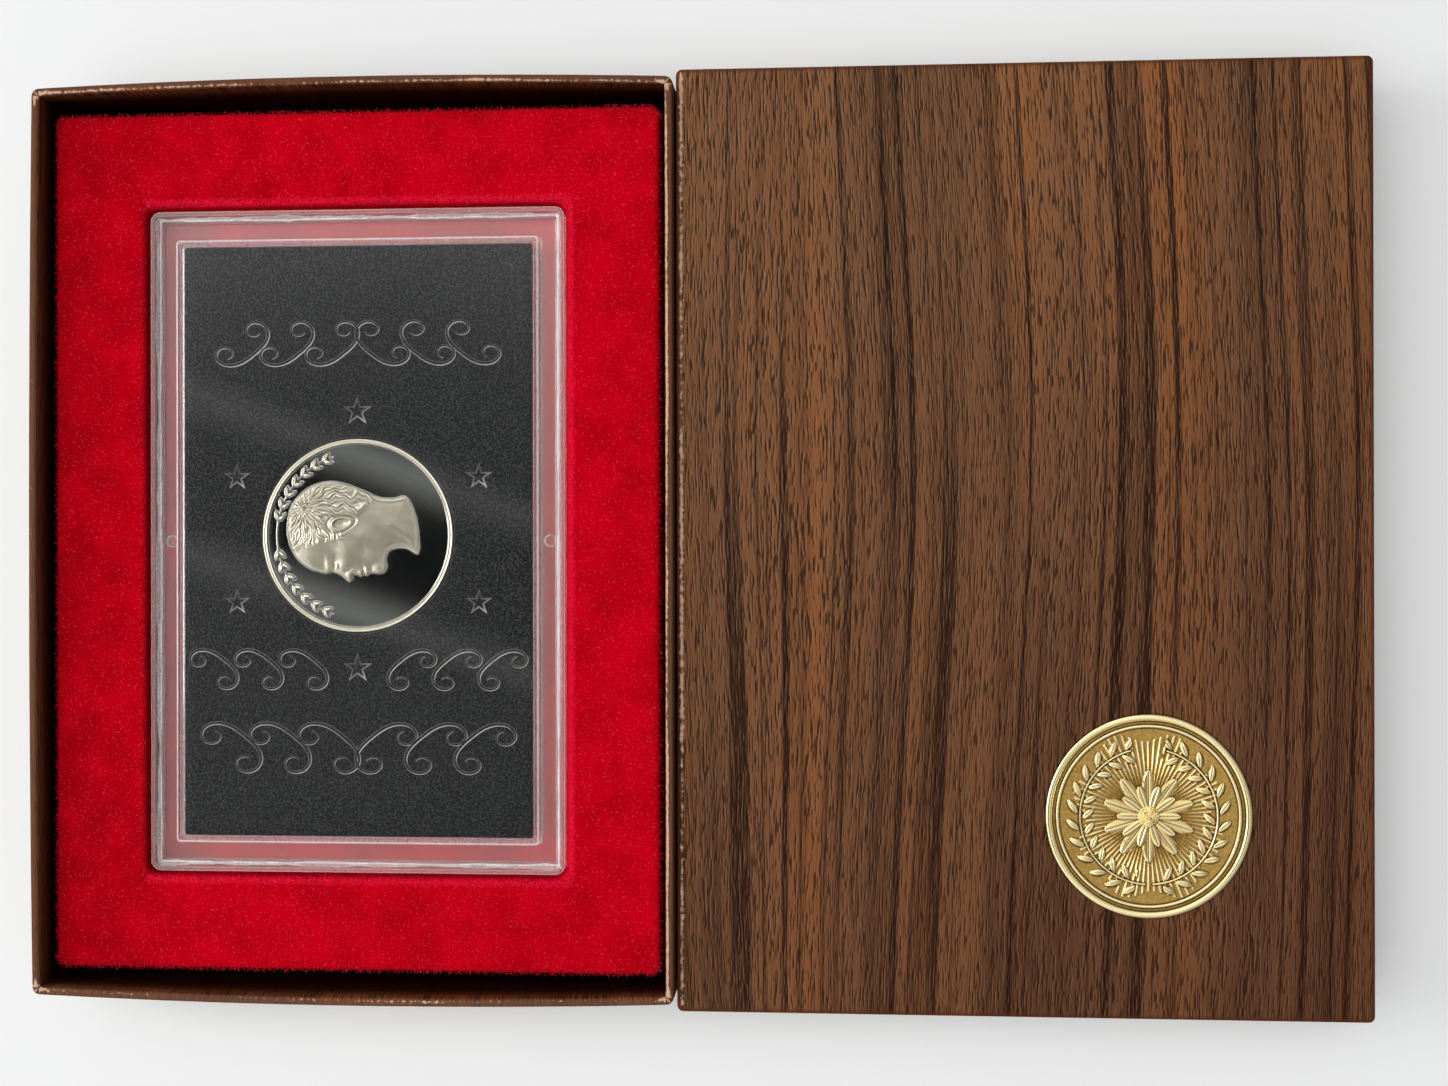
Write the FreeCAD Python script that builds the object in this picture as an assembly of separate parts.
# Coin presentation box: a paper-wrapped chipboard tray with its lift-off lid set down beside it.
# In the tray stands a flocked platform. A clear case lies in the platform's recess and holds one coin
# in a black insert.
# Millimetres. The origin is the middle of the tray's underside, +X runs towards the lid,
# +Y towards the head of the coin case and +Z up.

import FreeCAD
import Part
import math
import os
from collections import namedtuple

Vector = FreeCAD.Vector

# Coin
coin_diameter = 38.1
coin_thickness = 2.58
coin_rim_width = 1.05
coin_rim_height = 0.25
coin_relief = 0.2              # height of the bust above the field
bust_height = 25.5             # crown of the head to the cut of the neck
bust_lift = 0.4                # the bust's middle stands this far above the coin's middle
bust_turn = 90.0               # the coin lies a quarter turn round in its seat

# Black insert that holds the coin
coin_clearance = 0.08          # all round the coin, so that it can turn
coin_end_play = 0.05
coin_proud = 0.08              # the coin's rim above the insert
coin_ledge = 0.95              # thickness of the ledge under the coin
coin_ledge_width = 1.5
insert_side_margin = 15.75     # coin's edge to the insert's side
insert_head_margin = 37.9
insert_foot_margin = 40.0
insert_corner = 0.8
end_star_gap = 6.15            # coin's edge to the middle of the star above it and below it
end_star_radius = 3.05
side_star_gap = 8.0            # coin's edge to the middle of each of the four stars beside it
side_star_radius = 2.75
side_star_angle = 27.0         # of those four, up and down from the coin's middle
star_drop = 0.8                # the stars' middle lies this far below the coin's
star_waist = 0.382             # inner corners of a star as a share of its radius
star_relief = 0.2

# Clear case, front and back halves
insert_clearance = 0.2
insert_headroom = 0.3          # under the window
window_thickness = 1.2
frame_wall = 1.1               # wall round the insert
flange_side = 3.6              # width of the flange between the wall and the lip
flange_end = 4.1
flange_thickness = 1.4
flange_corner = 0.2
flange_clearance = 0.2
flange_depth = 1.75            # top of the lip and window down to the flange
lip_width = 1.3
case_back = 1.6
case_corner = 2.0
pin_diameter = 2.4
pin_depth = 0.9                # length of the pin inside the back half
pin_clearance = 0.04

# Flocked platform
recess_clearance = 0.4
case_sunk = 1.4                # top of the case below the platform's top
border_side = 18.2             # recess to the platform's side
border_end = 18.4
under_recess = 7.9             # clear height under the recess
form_thickness = 0.8
flock_thickness = 0.5
platform_corner = 2.0
platform_edge = 1.3            # rounding of the top edges, round the platform and round the recess

# Tray and lid, which are built alike
paper = 0.2
board = 1.2
stay_thickness = 0.15
stay_leg = 12.0
stay_setback = 1.0             # the stays end short of the board's edge
turn_in = 14.0                 # paper turned in over the rim
tray_corner = 1.6
lid_corner = 1.2
platform_side_gap = 1.4
platform_end_gap = 3.0
platform_drop = 4.4            # rim of the tray down to the platform
tray_end_bow = 1.2             # the open rim bows outwards at both ends
tray_side_bow = 0.6            # and on the side away from the lid
tray_foot_bow = 0.05           # the walls are all but straight at the floor and beside the lid
lid_side_slack = 0.9           # between the lid's wall and the tray's, each side
lid_end_slack = 0.3
lid_height = 20.0
lid_gap = 0.3                  # the lid lies this far from the tray

# Foil seal on the lid
seal_diameter = 38.6
seal_thickness = 0.35
seal_rim_width = 1.1
seal_rim_height = 0.25
seal_ring_inset = 2.3          # seal's edge to the fine inner ring
seal_ring_width = 0.5
seal_from_side = 41.65         # middle of the seal from the lid's outer side
seal_from_foot = 38.2

# Sizes that follow, from the coin outwards
coin_radius = coin_diameter / 2
seat_radius = coin_radius + coin_clearance
insert_width = coin_diameter + 2 * insert_side_margin
insert_length = coin_diameter + insert_head_margin + insert_foot_margin
insert_thickness = coin_ledge + coin_end_play + coin_thickness - coin_proud
coin_y = (insert_foot_margin - insert_head_margin) / 2
frame_width = insert_width + 2 * (insert_clearance + frame_wall)
frame_length = insert_length + 2 * (insert_clearance + frame_wall)
flange_width = frame_width + 2 * flange_side
flange_length = frame_length + 2 * flange_end
case_width = flange_width + 2 * (flange_clearance + lip_width)
case_length = flange_length + 2 * (flange_clearance + lip_width)
case_height = case_back + insert_thickness + insert_headroom + window_thickness
recess_width = case_width + 2 * recess_clearance
recess_length = case_length + 2 * recess_clearance
recess_depth = case_height + case_sunk
recess_corner = case_corner + recess_clearance
platform_width = recess_width + 2 * border_side
platform_length = recess_length + 2 * border_end
wall = board + 2 * paper
tray_width = platform_width + 2 * (platform_side_gap + wall)
tray_length = platform_length + 2 * (platform_end_gap + wall)
lid_width = tray_width + 2 * (lid_side_slack + wall)
lid_length = tray_length + 2 * (lid_end_slack + wall)

# Heights above the table
tray_floor = paper + board
recess_floor = tray_floor + under_recess + form_thickness + flock_thickness
platform_top = recess_floor + recess_depth
tray_height = platform_top + platform_drop
insert_foot = recess_floor + case_back
insert_top = insert_foot + insert_thickness
coin_foot = insert_top + coin_proud - coin_thickness
window_foot = insert_top + insert_headroom
case_top = recess_floor + case_height
flange_top = case_top - flange_depth
lid_x = tray_width / 2 + tray_foot_bow + lid_gap + lid_width / 2

reach = 2 * (tray_width + tray_length)      # longer than anything that is cut

straight = (0.0, 0.0, 0.0, 0.0)             # bows of the right, head, left and foot sides
HalfBox = namedtuple("HalfBox", "width length height corner rim_bows")


def prism(wire, low, high):
    """A flat outline at height 0 raised to a solid between two heights."""
    solid = Part.Face(wire).extrude(Vector(0, 0, high - low))
    solid.translate(Vector(0, 0, low))
    return solid


def side(start, end, bow):
    """One side of an outline, straight or bowed outwards; the outline runs anticlockwise."""
    if not bow:
        return Part.LineSegment(start, end).toShape()
    along = end - start
    outwards = Vector(along.y, -along.x, 0).normalize()
    return Part.Arc(start, (start + end) * 0.5 + outwards * bow, end).toShape()


def outline(width, length, radius, bows=straight, height=0.0):
    """A rectangle with round corners and sides that may bow outwards."""
    x = width / 2 - radius
    y = length / 2 - radius
    mid = radius * math.sqrt(0.5)
    edges = []
    corners = (((x, -y), (1, -1)), ((x, y), (1, 1)), ((-x, y), (-1, 1)), ((-x, -y), (-1, -1)))
    ends = []
    for number, (centre, sign) in enumerate(corners):
        on_side = Vector(centre[0] + sign[0] * radius, centre[1], height)
        on_end = Vector(centre[0], centre[1] + sign[1] * radius, height)
        middle = Vector(centre[0] + sign[0] * mid, centre[1] + sign[1] * mid, height)
        ends.append((on_end, middle, on_side) if number % 2 == 0 else (on_side, middle, on_end))
    for number in range(4):
        begin, middle, finish = ends[number]
        following = ends[(number + 1) % 4][0]
        edges.append(Part.Arc(begin, middle, finish).toShape())
        edges.append(side(finish, following, bows[number]))
    return Part.Wire(edges)


def rounded_box(width, length, radius, low, high):
    """An upright box with round corners in plan, in the middle of the tray."""
    return prism(outline(width, length, radius), low, high)


def cylinder(radius, low, high, x=0.0, y=0.0):
    """An upright cylinder between two heights."""
    return Part.makeCylinder(radius, high - low, Vector(x, y, low))


def round_top(solid, radius):
    """The solid with the edges of its top face rounded."""
    top = solid.BoundBox.ZMax
    tolerance = 1e-6
    edges = [edge for edge in solid.Edges if edge.BoundBox.ZMin > top - tolerance]
    return solid.makeFillet(radius, edges)


def block(half, inset):
    """The full height of a half box, open side up, with its outline drawn in by inset on every side."""
    width = half.width - 2 * inset
    length = half.length - 2 * inset
    radius = max(half.corner - inset, paper)
    if half.rim_bows == straight:
        return prism(outline(width, length, radius), 0, half.height)
    foot = outline(width, length, radius, (tray_foot_bow,) * 4)
    rim = outline(width, length, radius, half.rim_bows, half.height)
    return Part.makeLoft([foot, rim], True, True)


def slab(solid, low, high):
    """What a solid has between two heights."""
    return solid.common(Part.makeBox(reach, reach, high - low, Vector(-reach / 2, -reach / 2, low)))


def mitre_wedges(half):
    """Four upright wedges that part the walls of a half box at its corners."""
    x = half.width / 2
    y = half.length / 2
    out = wall + 2 * max(half.rim_bows)
    inner = min(x, y) / 2
    wedges = []
    for sign in (1, -1):
        beside = [(x + out, y + out), (x + out, -y - out), (x - inner, -y + inner), (x - inner, y - inner)]
        beyond = [(x + out, y + out), (-x - out, y + out), (-x + inner, y - inner), (x - inner, y - inner)]
        for corners in (beside, beyond):
            points = [Vector(sign * px, sign * py, 0) for px, py in corners]
            wedges.append(prism(Part.makePolygon(points + points[:1]), -paper, half.height + paper))
    return wedges


def corner_stays(half, board_outer):
    """Strips of tape pressed flush into the four outer corners of the board."""
    rim = half.height - paper - stay_setback
    ring = slab(board_outer, paper, rim).cut(block(half, paper + stay_thickness))
    x = half.width / 2 - paper - stay_leg
    y = half.length / 2 - paper - stay_leg
    stays = []
    for sign_x in (1, -1):
        for sign_y in (1, -1):
            corner = Vector(min(sign_x * x, sign_x * reach), min(sign_y * y, sign_y * reach), 0)
            stays.append(ring.common(Part.makeBox(reach - x, reach - y, half.height, corner)))
    return Part.makeCompound(stays)


def half_box(half):
    """The board, corner stays and paper wrap of a tray or a lid, standing open side up."""
    outer = block(half, 0)
    board_outer = block(half, paper)
    board_inner = block(half, paper + board)
    opening = block(half, wall)
    rim = half.height

    stays = corner_stays(half, board_outer)
    shell = slab(board_outer, paper, rim - paper).cut(slab(board_inner, tray_floor, rim))
    shell = shell.cut(stays)

    sheet = slab(outer, 0, paper)
    skin = slab(outer, paper, rim).cut(slab(board_outer, paper, rim - paper)).cut(opening)
    inside = slab(board_inner, rim - turn_in, rim - paper).cut(opening)
    sleeve = skin.fuse(inside)
    flaps = [sleeve.common(wedge) for wedge in mitre_wedges(half)]
    return {"board": shell, "corner_stays": stays, "wrap": Part.makeCompound([sheet] + flaps)}


def build_tray():
    """The tray stands on the table, three of its walls bowed outwards at the open rim."""
    bows = (tray_foot_bow, tray_end_bow, tray_side_bow, tray_end_bow)
    tray = half_box(HalfBox(tray_width, tray_length, tray_height, tray_corner, bows))
    return {"tray_" + name: shape for name, shape in tray.items()}


def build_lid():
    """The lid is a shallower half box, turned open side down and set beside the tray."""
    lid = half_box(HalfBox(lid_width, lid_length, lid_height, lid_corner, straight))
    for shape in lid.values():
        shape.rotate(Vector(0, 0, lid_height / 2), Vector(1, 0, 0), 180)
        shape.translate(Vector(lid_x, 0, 0))
    return {"lid_" + name: shape for name, shape in lid.items()}


def turned(profile):
    """A ring or disc: half its section, as radius and height, turned about the Z axis."""
    points = [Vector(radius, 0, height) for radius, height in profile]
    face = Part.Face(Part.makePolygon(points + points[:1]))
    return face.revolve(Vector(0, 0, 0), Vector(0, 0, 1), 360)


def build_seal():
    """An embossed foil disc on the lid, with a raised rim and a fine ring inside it."""
    radius = seal_diameter / 2
    rim = radius - seal_rim_width
    ring = radius - seal_ring_inset
    ring_inner = ring - seal_ring_width
    field = seal_thickness
    raised = seal_thickness + seal_rim_height
    seal = turned([(0, 0), (radius, 0), (radius, raised), (rim, raised), (rim, field), (ring, field),
                   (ring, raised), (ring_inner, raised), (ring_inner, field), (0, field)])
    x = lid_x + lid_width / 2 - seal_from_side
    y = seal_from_foot - lid_length / 2
    seal.translate(Vector(x, y, lid_height))
    return {"gold_seal": seal}


def build_platform():
    """A thermoformed shell with a recess for the case, and the flock that coats its upper side."""
    form_low = tray_floor
    form_top = platform_top - flock_thickness
    both = 2 * flock_thickness
    shell_both = both + 2 * form_thickness

    recess = rounded_box(recess_width, recess_length, recess_corner, recess_floor, tray_height)
    cup = rounded_box(recess_width + both, recess_length + both, recess_corner + flock_thickness,
                      recess_floor - flock_thickness, tray_height)
    cup_outside = rounded_box(recess_width + shell_both, recess_length + shell_both,
                              recess_corner + flock_thickness + form_thickness,
                              recess_floor - flock_thickness - form_thickness, tray_height)
    outside = rounded_box(platform_width, platform_length, platform_corner, form_low, platform_top)
    inside = rounded_box(platform_width - both, platform_length - both, platform_corner - flock_thickness,
                         form_low, form_top)
    hollow = rounded_box(platform_width - shell_both, platform_length - shell_both,
                         platform_corner, form_low, form_top - form_thickness)
    coat = round_top(outside.cut(recess), platform_edge)
    form = round_top(inside.cut(cup), platform_edge - flock_thickness)
    return {"platform_form": form.cut(hollow.cut(cup_outside)), "platform_flocking": coat.cut(form)}


def build_case_back():
    """The back half of the clear case: a plate with a lip round it and two sockets for the pins."""
    plate = rounded_box(case_width, case_length, case_corner, recess_floor, case_top)
    inside = rounded_box(case_width - 2 * lip_width, case_length - 2 * lip_width,
                         flange_corner + flange_clearance, insert_foot, case_top)
    back = plate.cut(inside)
    for x in pin_places():
        back = back.cut(cylinder(pin_diameter / 2 + pin_clearance, insert_foot - pin_depth - pin_clearance,
                                 insert_foot, x))
    return {"case_back": back}


def pin_places():
    """The pins stand in the middle of the flange, one on each long side."""
    x = frame_width / 2 + flange_side / 2
    return (-x, x)


def build_case_front():
    """The front half: a raised window on a wall round the insert, a flange inside the lip, and two pins."""
    frame_corner = insert_corner + frame_wall
    flange_foot = flange_top - flange_thickness
    frame = rounded_box(frame_width, frame_length, frame_corner, insert_foot, case_top)
    flange = rounded_box(flange_width, flange_length, flange_corner, flange_foot, flange_top)
    front = frame.fuse(flange)
    for x in pin_places():
        front = front.fuse(cylinder(pin_diameter / 2, insert_foot - pin_depth, flange_foot, x))
    cavity = rounded_box(insert_width + 2 * insert_clearance, insert_length + 2 * insert_clearance,
                         insert_corner, insert_foot, window_foot)
    return {"case_front": front.cut(cavity).removeSplitter()}


def star(x, y, radius, low, high):
    """A raised five-pointed star with one point towards +Y."""
    points = []
    for corner in range(10):
        angle = math.radians(90 + 36 * corner)
        reach_out = radius * (star_waist if corner % 2 else 1.0)
        points.append(Vector(x + reach_out * math.cos(angle), y + reach_out * math.sin(angle), 0))
    return prism(Part.makePolygon(points + points[:1]), low, high)


def star_places():
    """Place and radius of the six stars: one above the coin, one below it and two on each side."""
    middle = coin_y - star_drop
    away = coin_radius + side_star_gap
    side_x = away * math.cos(math.radians(side_star_angle))
    side_y = away * math.sin(math.radians(side_star_angle))
    places = []
    for sign_y in (1, -1):
        places.append((0, middle + sign_y * (coin_radius + end_star_gap), end_star_radius))
        for sign_x in (1, -1):
            places.append((sign_x * side_x, middle + sign_y * side_y, side_star_radius))
    return places


def build_insert():
    """A black plate with a stepped round seat for the coin and a ring of raised stars."""
    plate = rounded_box(insert_width, insert_length, insert_corner, insert_foot, insert_top)
    plate = plate.cut(cylinder(seat_radius, insert_foot + coin_ledge, insert_top, 0, coin_y))
    plate = plate.cut(cylinder(seat_radius - coin_ledge_width, insert_foot, insert_top, 0, coin_y))
    for x, y, radius in star_places():
        plate = plate.fuse(star(x, y, radius, insert_top, insert_top + star_relief))
    return {"coin_insert": plate.removeSplitter()}


def bust(low, high):
    """A plain bust in profile, facing -X with its crown towards +Y, as shares of its own height.
    The points run from the front of the neck up over the face and crown to the nape."""
    contour = [(-0.20, -0.44), (-0.13, -0.30), (-0.24, -0.27), (-0.30, -0.20), (-0.29, -0.12), (-0.31, -0.05),
               (-0.38, -0.02), (-0.33, 0.10), (-0.33, 0.25), (-0.22, 0.43), (0.02, 0.50), (0.27, 0.42),
               (0.39, 0.20), (0.35, -0.03), (0.25, -0.18), (0.24, -0.38)]
    points = [Vector(x * bust_height, y * bust_height + bust_lift, 0) for x, y in contour]
    curve = Part.BSplineCurve()
    curve.interpolate(points)
    cut = Part.Arc(points[-1], (points[0] + points[-1]) * 0.5 - Vector(0, bust_height * 0.05, 0), points[0])
    return prism(Part.Wire([curve.toShape(), cut.toShape()]), low, high)


def build_coin():
    """The coin: a disc with a raised rim on both faces and a bust in low relief, a quarter turn round."""
    inner = coin_radius - coin_rim_width
    field = coin_thickness - coin_rim_height
    coin = turned([(0, coin_rim_height), (inner, coin_rim_height), (inner, 0), (coin_radius, 0),
                   (coin_radius, coin_thickness), (inner, coin_thickness), (inner, field), (0, field)])
    coin = coin.fuse(bust(field, field + coin_relief)).removeSplitter()
    coin.rotate(Vector(0, 0, 0), Vector(0, 0, 1), bust_turn)
    coin.translate(Vector(0, coin_y, coin_foot))
    return {"coin": coin}


def main():
    """Builds every piece and writes one STEP file for each."""
    os.makedirs("parts", exist_ok=True)
    builders = (build_tray, build_lid, build_seal, build_platform, build_case_back, build_case_front,
                build_insert, build_coin)
    for build in builders:
        for name, shape in build().items():
            volume = sum(solid.Volume for solid in shape.Solids)
            print(f"{name}: {len(shape.Solids)} solids, {volume:.1f} mm3, valid {shape.isValid()}")
            shape.exportStep(os.path.join("parts", name + ".step"))
    print(f"tray {tray_width:.1f} x {tray_length:.1f} x {tray_height:.1f},",
          f"lid {lid_width:.1f} x {lid_length:.1f} x {lid_height:.1f} at x {lid_x:.2f},",
          f"case {case_width:.1f} x {case_length:.1f} x {case_height:.2f}")


main()
